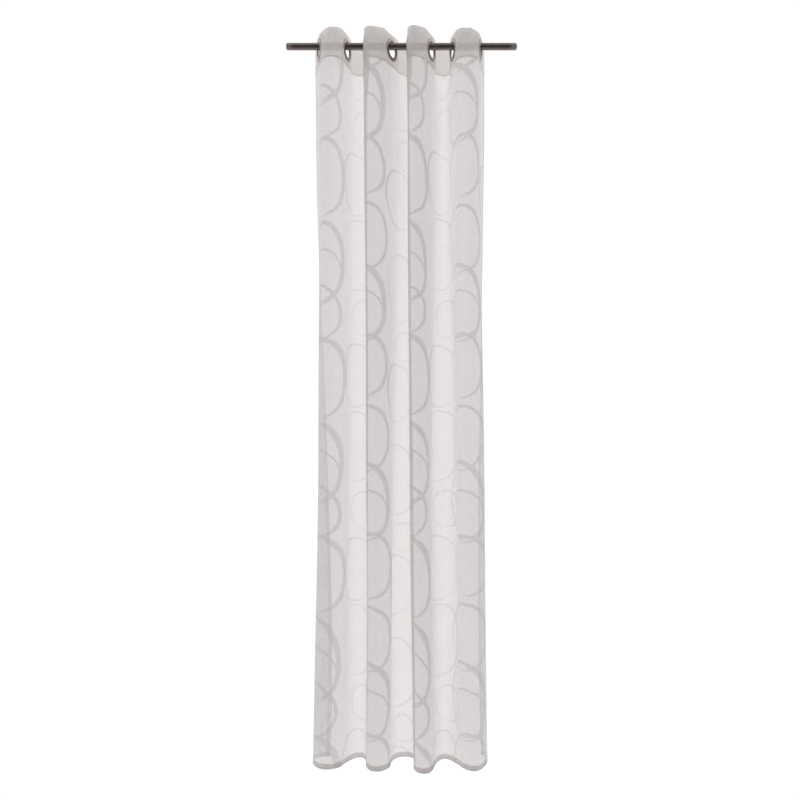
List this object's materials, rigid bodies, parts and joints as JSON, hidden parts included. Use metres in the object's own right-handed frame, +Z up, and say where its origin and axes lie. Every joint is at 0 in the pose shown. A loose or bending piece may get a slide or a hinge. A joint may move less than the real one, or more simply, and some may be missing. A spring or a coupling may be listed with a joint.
{
  "type": "semi-sheer eyelet curtain on a metal rod",
  "caption": "Semi-sheer off-white curtain with a loose woven ring pattern, hanging in deep folds from metal eyelets on a plain round metal rod.",
  "frame": {"origin": "on the rod's axis, at the middle of the rod's length", "axes": "+X along the rod, -Y out of the curtain's front into the room, +Z up"},
  "size_m": [0.7136, 0.1892, 2.25],
  "materials": {
    "sheer_cloth": "matt, semi-sheer off-white voile with denser woven rings",
    "heading_cloth": "matt, the same cloth folded over a stiffening tape",
    "eyelet_metal": "satin nickel plate",
    "rod_metal": "dark satin nickel plate"
  },
  "bodies": {
    "root": {"sheer_panel": "sheer_cloth", "heading_band": "heading_cloth", "eyelet_1": "eyelet_metal", "eyelet_2": "eyelet_metal", "eyelet_3": "eyelet_metal", "eyelet_4": "eyelet_metal", "eyelet_5": "eyelet_metal", "eyelet_6": "eyelet_metal", "eyelet_7": "eyelet_metal", "eyelet_8": "eyelet_metal", "rod_tube": "rod_metal", "end_cap_left": "rod_metal", "end_cap_right": "rod_metal"}
  },
  "joints": []
}
